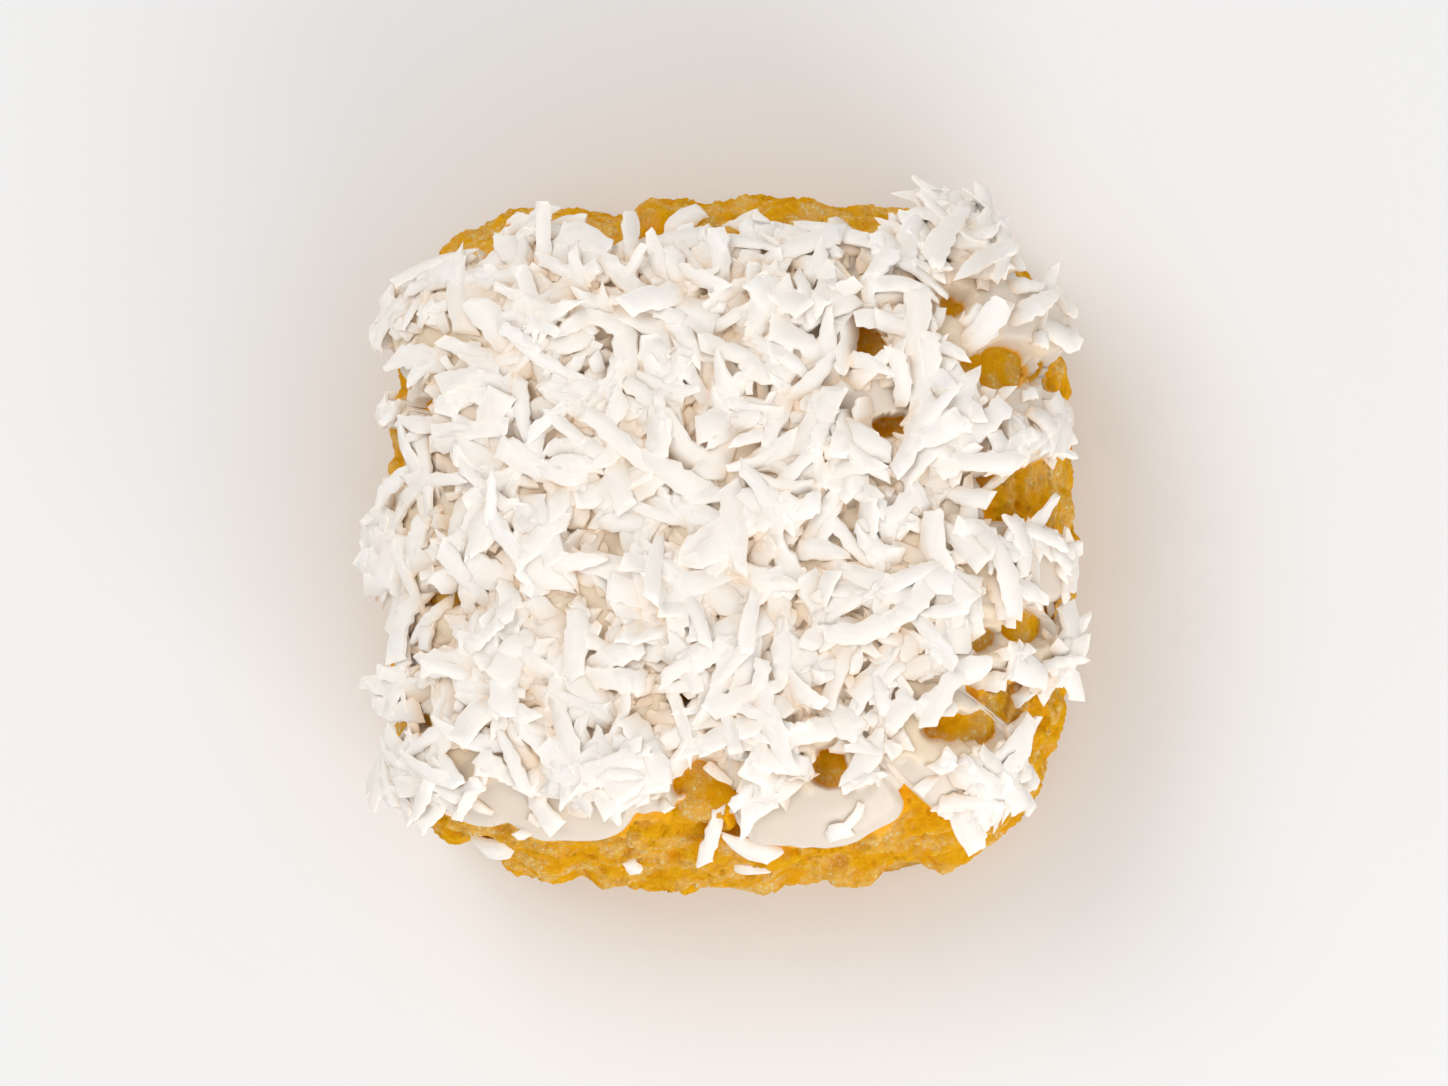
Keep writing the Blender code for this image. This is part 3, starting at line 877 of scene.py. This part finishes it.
def strip_rows(chance, kind):
    """One shape of coconut, 1 long and 1 wide: rings of points, and each point's place on the strip.

    A point is (x, y, sideways bend in lengths, lift in widths, arch in lengths, z in half thicknesses).

    Both long sides are uneven, the ends are torn or pointed, and the whole is bent and a little twisted.
    """
    section, stations, ragged = SECTIONS[kind], STATIONS[kind], RAGGED[kind]
    columns = sorted({y for y, _ in section})
    pointed = chance.random(2) < POINTED
    tips = np.where(pointed, *(chance.uniform(*limits, 2) for limits in END_WIDTHS))
    fall = np.where(pointed, *END_FALLS)
    torn = chance.uniform(-1, 1, (2, len(columns))) * TORN[kind]
    slant = chance.normal(*SLANT, 2)
    sides = 1 + chance.uniform(-ragged, ragged, (2, len(stations)))
    arch, curve = chance.uniform(*ARCH), chance.normal(*CURVE)
    cup, twist, wedge = chance.normal(*CUP), chance.normal(*TWIST), chance.uniform(*WEDGE)
    rows, grains = [], []
    for number, s in enumerate(stations):
        end = int(s > 0)
        narrow = (1 + (tips[end] - 1) * abs(s) ** fall[end]) * (1 + wedge * s)
        row = []
        for y, z in section:
            x = s / 2 * (1 - BEVEL * (z > 0)) + abs(s) ** 7 * (torn[end][columns.index(y)] + slant[end] * y)
            across = y * narrow * sides[int(y > 0)][number] / 2
            bend = curve * (1 - s * s)
            lift = across * math.sin(twist * s) + cup * (1 - y * y) * narrow / 2
            row.append((x, across * math.cos(twist * s), bend, lift, arch * (1 - s * s), z))
            grains.append((s / 2, across, z))
        rows.append(row)
    return rows, grains


def shape_object(name, chance, kind, length, width, thickness):
    """A shape at its size in metres, as an object that the scatter picks from."""
    rows, grains = strip_rows(chance, kind)
    bm = bmesh.new()
    made = []
    for row in rows:
        ring = []
        for x, y, bend, lift, arch, z in row:
            raised = lift * width + arch * length + z * thickness / 2
            ring.append(bm.verts.new((x * length, y * width + bend * length, raised)))
        made.append(ring)
    for low, high in zip(made, made[1:]):
        for corner in range(len(low)):
            after = (corner + 1) % len(low)
            bm.faces.new((low[corner], low[after], high[after], high[corner]))
    bm.faces.new(made[0])
    bm.faces.new(made[-1])
    bmesh.ops.recalc_face_normals(bm, faces=bm.faces)
    mesh = bpy.data.meshes.new(name)
    bm.to_mesh(mesh)
    bm.free()
    mesh.shade_smooth()
    mesh.set_sharp_from_angle(angle=SHARP_EDGE)
    store(mesh, "grain", np.array(grains) * (length, width, thickness))
    return bpy.data.objects.new(name, mesh)


class Heap:
    """The icing's surface unrolled on a flat map, and how high the coconut stands on it so far."""

    def __init__(self, sizes):
        low, high = CAD_BOX
        grow = (high - low) * sizes.overhang
        self.low, self.high = low - grow, high + grow
        self.shift = frame_shift()
        self.steps = int(2 * MAP_HALF / MAP_CELL)
        line = (np.arange(self.steps) + 0.5) * MAP_CELL - MAP_HALF
        u, v = np.meshgrid(line, line, indexing="ij")
        angle = np.arctan2(v, u)
        reach = np.minimum(np.hypot(u, v) - plan_radius(angle, SHOULDER), SIDE_LENGTH)
        lift, self.from_edge = icing_lift(angle, reach, sizes)
        self.base = cake_surface(angle, reach)
        self.out = outward(angle, reach)
        crag = crag_depth(angle.ravel(), reach.ravel(), self.base.reshape(-1, 3)).reshape(lift.shape)
        self.points = self.base + self.out * (lift - crag)[..., None]
        self.height = np.zeros_like(lift)
        self.reach = reach
        smooth = spot_share(self.base, SMOOTH_ICING)
        thin = spot_share(self.base, THIN_SPOTS)
        inside = fade_in(self.from_edge, COVER)
        clumps = LEAST_COVER + (1 - LEAST_COVER) * ease(uneven(self.base, COVER_RIPPLES, 0.5))
        right = fade_in(np.cos(angle), RIGHT_SIDE)
        past = self.from_edge <= 0
        fallen = FALLEN_COVER * right * ease(1 - (reach - icing_edge(angle)) / FALLEN_REACH) * past
        self.cover = np.maximum(inside * (1 - SMOOTH_BARE * smooth) * (1 - thin) * clumps, fallen)
        sponge = (SPONGE_OPEN[0] + (SPONGE_OPEN[1] - SPONGE_OPEN[0]) * right) * past
        self.open = np.maximum(np.maximum(SMOOTH_OPEN * smooth, thin), sponge)

    def cell(self, u, v):
        i = np.clip(((u + MAP_HALF) / MAP_CELL).astype(int), 0, self.steps - 1)
        j = np.clip(((v + MAP_HALF) / MAP_CELL).astype(int), 0, self.steps - 1)
        return i, j

    def spot(self, chance):
        """A random place on the map that coconut may cover."""
        while True:
            u, v = chance.uniform(-MAP_HALF, MAP_HALF, 2)
            i, j = self.cell(np.array(u), np.array(v))
            if chance.random() < self.cover[i, j]:
                return u, v

    def above(self, x, y):
        """The place on the map of the surface point that is seen at (x, y) from above."""
        away = np.hypot(self.base[..., 0] - x, self.base[..., 1] - y)
        i, j = np.unravel_index(np.argmin(away), away.shape)
        return (i + 0.5) * MAP_CELL - MAP_HALF, (j + 0.5) * MAP_CELL - MAP_HALF

    def axes(self, u, v, heading):
        """(along, across, outward) on the cake's surface for a heading on the map."""
        i, j = self.cell(np.array(u), np.array(v))
        out = self.out[i, j] + (0, 0, SHINGLE * (1 - self.out[i, j, 2]))
        out /= np.linalg.norm(out)
        step = 4 * MAP_CELL
        ahead = self.cell(np.array(u + step * math.cos(heading)), np.array(v + step * math.sin(heading)))
        behind = self.cell(np.array(u - step * math.cos(heading)), np.array(v - step * math.sin(heading)))
        along = self.base[ahead] - self.base[behind]
        along -= out * (along @ out)
        along /= max(np.linalg.norm(along), 1e-9)
        return along, np.cross(out, along), out

    def drop(self, u, v, heading, size, lean, roll, most_open=1.0):
        """Lets a piece settle on what lies there already, and gives its place and turn.

        Gives None where it would stick out too far, or hide more open ground than its share most_open.
        """
        length, width, thickness = size
        lines = [np.linspace(-share, share, count) for share, count in zip(FELT_SHARES, FELT_SAMPLES)]
        s, w = np.meshgrid(lines[0] * length, lines[1] * width, indexing="ij")
        s, w = s.ravel(), w.ravel()
        cu, sv = math.cos(heading), math.sin(heading)
        cells = self.cell(u + s * cu - w * sv, v + s * sv + w * cu)
        if self.open[cells].mean() > most_open:
            return None
        under = self.height[cells]
        weight = np.exp((under - under.max()) / TOUCH)
        design = np.stack([np.ones_like(s), s, w], axis=1)
        gram = design.T @ (design * weight[:, None]) + np.diag(STIFFNESS)
        _, pitch, bank = np.linalg.solve(gram, design.T @ (under * weight))
        pitch = np.clip(pitch, -STEEPEST[0], STEEPEST[0]) + lean
        bank = np.clip(bank, -STEEPEST[1], STEEPEST[1]) + roll
        plane = pitch * s + bank * w
        level = np.quantile(under - plane, SETTLE)
        along, across, out = self.axes(u, v, heading)
        along = along + out * pitch
        along /= np.linalg.norm(along)
        across = across + out * bank
        across -= along * (across @ along)
        across /= np.linalg.norm(across)
        place = self.points[self.cell(np.array(u), np.array(v))] + out * (level + thickness / 2) + self.shift
        ends = place + np.outer((0.5, -0.5), along * length)
        if (ends.min(0) < self.low).any() or (ends.max(0) > self.high).any():
            return None
        self.height[cells] = np.maximum(under, level + plane + thickness * PACKING)
        return place, Matrix((along, across, np.cross(along, across))).transposed().to_euler()

    def nearest(self, points):
        """The cells whose surface points lie nearest to these points."""
        places = (self.points + self.shift).reshape(-1, 3)
        tree = kdtree.KDTree(len(places))
        for number, place in enumerate(places):
            tree.insert(place, number)
        tree.balance()
        return np.divmod([tree.find(point)[1] for point in points], self.steps)

    def depth(self, points):
        """How deep points lie in the heap, from 0 at its surface to 1 in its hollows."""
        cells = self.nearest(points)
        level = blurred(self.height, VEIL)
        spread = np.std((self.height - level)[self.cover > 0.5])
        above = ((points - self.shift - self.points[cells]) * self.out[cells]).sum(1)
        return fade_in((level[cells] - above) / spread, HOLLOW_SHADE)


def settle_heap(sizes):
    """Drops every piece of coconut, in a seeded order. Gives the heap and the rows of each kind.

    A row is (place, turn, size, number of its shape, tint).
    """
    chance = np.random.default_rng(sizes.seed)
    heap = Heap(sizes)
    kinds = ["shred"] * sizes.shreds + ["flake"] * sizes.flakes + ["chip"] * sizes.chips
    turns = chance.random(len(kinds)) - CHIPS_FIRST * (np.array(kinds) == "chip")
    order = [kinds[number] for number in np.argsort(turns)]
    rows = {kind: [] for kind in COCONUT_KINDS}

    def keep(kind, size, settled):
        rows[kind].append((*settled, size, int(chance.integers(sizes.shapes)), chance.random()))

    for x, y, heading, length, width, kind in STRAYS:
        size = (length, width, STRAY_THICKNESS)
        keep(kind, size, heap.drop(*heap.above(x, y), math.radians(heading), size, 0, 0))
    for kind in order:
        settled = None
        while settled is None:
            size = [chance.uniform(*limits) for limits in COCONUT_KINDS[kind]]
            lean, roll = chance.normal(0, LEAN), chance.normal(0, ROLL)
            if chance.random() < sizes.upright:
                lean += chance.choice((-1, 1)) * chance.uniform(*UPRIGHT_LEAN)
                roll = chance.normal(0, UPRIGHT_ROLL)
            heading = chance.uniform(0, 2 * math.pi)
            settled = heap.drop(*heap.spot(chance), heading, size, lean, roll, sizes.most_open)
        keep(kind, size, settled)
    return heap, rows


def raise_bed(heap, sheet, fill):
    """Lets the icing well up between the lowest pieces of coconut, to a share of the heap's height."""
    mesh = sheet.data
    points = np.array([v.co for v in mesh.vertices])
    bed = np.array([item.value for item in mesh.attributes["bed"].data])
    cells = heap.nearest(points)
    rise = fill * bed * blurred(heap.height, SOFTENING)[cells]
    points += heap.out[cells] * rise[:, None]
    mesh.vertices.foreach_set("co", points.astype(np.float32).reshape(-1))
    mesh.update()


def coconut_piece(kind, rows, heap, sizes, finish, tree):
    """One piece that holds every shred, flake or chip."""
    chance = np.random.default_rng(sizes.seed + len(kind))
    shapes = bpy.data.collections.new(kind + "_shapes")
    middle = [sum(limits) / 2 for limits in COCONUT_KINDS[kind]]
    for number in range(sizes.shapes):
        shapes.objects.link(shape_object(f"{kind}_{number:02d}", chance, kind, *middle))
    mesh = bpy.data.meshes.new(f"coconut_{kind}s")
    mesh.from_pydata([tuple(row[0]) for row in rows], [], [])
    store(mesh, "turn", [tuple(row[1]) for row in rows])
    store(mesh, "stretch", [np.divide(row[2], middle) for row in rows])
    store(mesh, "tint", [row[4] for row in rows])
    mesh.attributes.new("kind", "INT", "POINT").data.foreach_set("value", [row[3] for row in rows])
    piece = new_object(f"coconut_{kind}s", mesh)
    baked = bake_nodes(piece, tree, {"Shapes": shapes, "Size": 1.0, "Finish": finish})
    # Stores, as deep, how deep each point lies in the heap, for painted shade in the coconut's colour.
    store(baked, "deep", heap.depth(np.array([v.co for v in baked.vertices])))
    for shape in list(shapes.objects):
        bpy.data.objects.remove(shape, do_unlink=True)
    bpy.data.collections.remove(shapes)
    settle_piece(piece, "icing", "icing")


def length_property(name, description, default):
    return bpy.props.FloatProperty(name=name, description=description, default=default, unit="LENGTH")


def share_property(name, description, default):
    return bpy.props.FloatProperty(name=name, description=description, default=default, subtype="FACTOR")


def count_property(name, description, default):
    return bpy.props.IntProperty(name=name, description=description, default=default, min=1)


def colour_property(name, description, default):
    return bpy.props.FloatVectorProperty(
        name=name, description=description, default=default, size=3, min=0.0, max=1.0, subtype="COLOR"
    )


class CakeSizes(bpy.types.PropertyGroup):
    """Sizes and counts of the cake's pieces."""

    icing_thickness: length_property("Icing thickness", "Thickness of the icing", 0.0017)
    icing_root: length_property("Icing root", "How far the icing reaches into the sponge", 0.0012)
    rim: length_property("Icing rim", "Width of the icing's rounded rim", 0.0024)
    bed_thickness: length_property("Bed thickness", "Coconut and icing under the loose heap", 0.0014)
    bed_fill: share_property("Bed fill", "Share of the heap's height that icing fills", 0.4)
    dome: length_property("Dome", "How much higher the heap is in the middle", 0.0015)
    pore_size: length_property("Pore size", "Spacing of the sponge's large pores", 0.0026)
    pore_depth: length_property("Pore depth", "Depth of the sponge's large pores", 0.0011)
    crumb_size: length_property("Crumb size", "Size of the lumps of crumb", 0.0024)
    crumb_height: length_property("Crumb height", "Height of the lumps of crumb", 0.0012)
    groove_depth: length_property("Groove depth", "Depth of the grooves between grains of crumb", 0.00035)
    shreds: count_property("Shreds", "Long shreds in the heap", 760)
    flakes: count_property("Flakes", "Wide flakes in the heap", 100)
    chips: count_property("Chips", "Small chips in the heap", 1150)
    shapes: count_property("Shapes", "Different shapes of each kind", 20)
    upright: share_property("Upright", "Share of the pieces that stand up", 0.09)
    most_open: share_property("Open ground", "Most of a piece that may hide a gap", 0.15)
    overhang: share_property("Overhang", "How far coconut may reach past the solid's box", 0.018)
    seed: count_property("Seed", "Chooses where each piece falls", 11)


class CakeColours(bpy.types.PropertyGroup):
    """Colours of the cake's finishes."""

    sponge: colour_property("Sponge", "Moist golden sponge", (1.0, 0.475, 0.004))
    # Painted highlight: the lighter colour of raised crumb.
    sponge_lit_crumb: colour_property("Bright sponge", "Raised crumb", (1.0, 0.56, 0.012))
    sponge_deep: colour_property("Deep sponge", "Wetter patches of sponge", (0.92, 0.385, 0.001))
    sponge_light: colour_property("Light crumb", "Torn tips of crumb", (1.0, 0.82, 0.42))
    # Painted shade: the darker colour laid into the sponge's pores, grooves and crumb hollows.
    sponge_pore_shade: colour_property("Pores", "Inside the sponge's pores", (0.93, 0.37, 0.002))
    sponge_crust: colour_property("Crust", "Baked foot of the sponge", (0.46, 0.22, 0.06))
    icing: colour_property("Icing", "White icing", (0.80, 0.695, 0.585))
    icing_warm: colour_property("Warm icing", "Creamier patches of icing", (0.81, 0.68, 0.53))
    # Partly painted shade: the warm, darker colour of the icing bed, seen in the gaps under the coconut.
    bed: colour_property("Bed", "Icing under the coconut", (0.88, 0.70, 0.48))
    coconut: colour_property("Coconut", "Shredded coconut", (0.985, 0.94, 0.885))
    coconut_warm: colour_property("Warm coconut", "Creamier shreds", (0.95, 0.84, 0.73))
    # Painted shade: the darker, warmer colour of coconut deep in the heap's hollows.
    coconut_shade: colour_property("Deep coconut", "Shreds in the hollows of the heap", (0.885, 0.68, 0.48))


class CAKE_OT_sponge(bpy.types.Operator):
    """Makes the sponge with its open crumb."""

    bl_idname = "cake.sponge"
    bl_label = "Sponge"

    def execute(self, context):
        sizes, look = context.scene.cake_sizes, context.scene.cake_colours
        piece = new_object("sponge_crumb", sponge_mesh())
        values = {
            "Pore size": sizes.pore_size,
            "Pore depth": sizes.pore_depth,
            "Crumb size": sizes.crumb_size,
            "Crumb height": sizes.crumb_height,
            "Groove depth": sizes.groove_depth,
            "Finish": sponge_material(look),
        }
        bake_nodes(piece, crumb_tree(), values)
        settle_piece(piece, "sponge", "sponge")
        return {"FINISHED"}


class CAKE_OT_icing(bpy.types.Operator):
    """Makes the lobed sheet of icing."""

    bl_idname = "cake.icing"
    bl_label = "Icing"

    def execute(self, context):
        sizes, look = context.scene.cake_sizes, context.scene.cake_colours
        piece = new_object("icing_sheet", icing_mesh(sizes))
        piece.data.materials.append(icing_material(look))
        settle_piece(piece, "icing", "icing")
        return {"FINISHED"}


class CAKE_OT_coconut(bpy.types.Operator):
    """Heaps shreds, flakes and chips of coconut on the icing."""

    bl_idname = "cake.coconut"
    bl_label = "Coconut"

    def execute(self, context):
        sizes, look = context.scene.cake_sizes, context.scene.cake_colours
        finish, tree = coconut_material(look), scatter_tree()
        heap, rows = settle_heap(sizes)
        raise_bed(heap, bpy.data.objects["icing_sheet"], sizes.bed_fill)
        for kind in rows:
            coconut_piece(kind, rows[kind], heap, sizes, finish, tree)
        return {"FINISHED"}


class CAKE_OT_stage(bpy.types.Operator):
    """Sets the floor, the soft lights and the camera."""

    bl_idname = "cake.stage"
    bl_label = "Stage"

    def execute(self, context):
        make_floor()
        make_lights()
        make_camera()
        return {"FINISHED"}


def make_floor():
    mesh = bpy.data.meshes.new("floor")
    corners = [(x * FLOOR_HALF, y * FLOOR_HALF, 0) for x, y in ((-1, -1), (1, -1), (1, 1), (-1, 1))]
    mesh.from_pydata(corners, [], [(0, 1, 2, 3)])
    paint = Paint("pale_floor")
    shade = paint.mix(paint.noise(0.30, 2.0), rgb((0.905, 0.903, 0.900)), rgb((0.920, 0.918, 0.915)))
    mesh.materials.append(paint.finish({"Base Color": shade, "Roughness": 0.7}))
    new_object("floor", mesh)


def soft_light(name, place, size, power):
    data = bpy.data.lights.new(name, "AREA")
    data.shape = "SQUARE"
    data.size = size
    data.energy = power
    light = new_object(name, data)
    light.location = place
    light.rotation_euler = (Vector(LIGHT_AIM) - Vector(place)).to_track_quat("-Z", "Y").to_euler()


def make_lights():
    scene = bpy.context.scene
    scene.view_settings.view_transform = "Standard"
    scene.view_settings.look = "None"
    world = bpy.data.worlds.new("studio")
    world.use_nodes = True
    background = world.node_tree.nodes["Background"].inputs
    background["Color"].default_value = (1, 1, 1, 1)
    background["Strength"].default_value = DAYLIGHT
    scene.world = world
    for settings in LIGHTS:
        soft_light(*settings)


def make_camera():
    """Looks down on the cake, with +Y upward in the picture."""
    data = bpy.data.cameras.new("camera")
    data.lens = CAMERA_LENS
    data.clip_start = 0.01
    camera = new_object("camera", data)
    camera.location = CAMERA_PLACE
    aim = Vector(CAMERA_AIM) - camera.location
    side = aim.cross(Vector((0, 1, 0))).normalized()
    axes = Matrix((side, side.cross(aim).normalized(), -aim.normalized()))
    camera.rotation_mode = "QUATERNION"
    camera.rotation_quaternion = axes.transposed().to_quaternion()
    bpy.context.scene.camera = camera


class CAKE_PT_panel(bpy.types.Panel):
    """Lists the cake's pieces."""

    bl_idname = "CAKE_PT_panel"
    bl_label = "Sponge cake"
    bl_space_type = "VIEW_3D"
    bl_region_type = "UI"
    bl_category = "Cake"

    def draw(self, context):
        for operator in OPERATORS:
            self.layout.operator(operator.bl_idname)
        for group in (context.scene.cake_sizes, context.scene.cake_colours):
            for name in group.__annotations__:
                self.layout.prop(group, name)


OPERATORS = (CAKE_OT_sponge, CAKE_OT_icing, CAKE_OT_coconut, CAKE_OT_stage)
CLASSES = (CakeSizes, CakeColours, *OPERATORS, CAKE_PT_panel)


def register():
    for item in CLASSES:
        bpy.utils.register_class(item)
    bpy.types.Scene.cake_sizes = bpy.props.PointerProperty(type=CakeSizes)
    bpy.types.Scene.cake_colours = bpy.props.PointerProperty(type=CakeColours)


def unregister():
    del bpy.types.Scene.cake_colours
    del bpy.types.Scene.cake_sizes
    for item in reversed(CLASSES):
        bpy.utils.unregister_class(item)


def main():
    register()
    bpy.ops.cake.sponge()
    bpy.ops.cake.icing()
    bpy.ops.cake.coconut()
    bpy.ops.cake.stage()


if __name__ == "__main__":
    main()
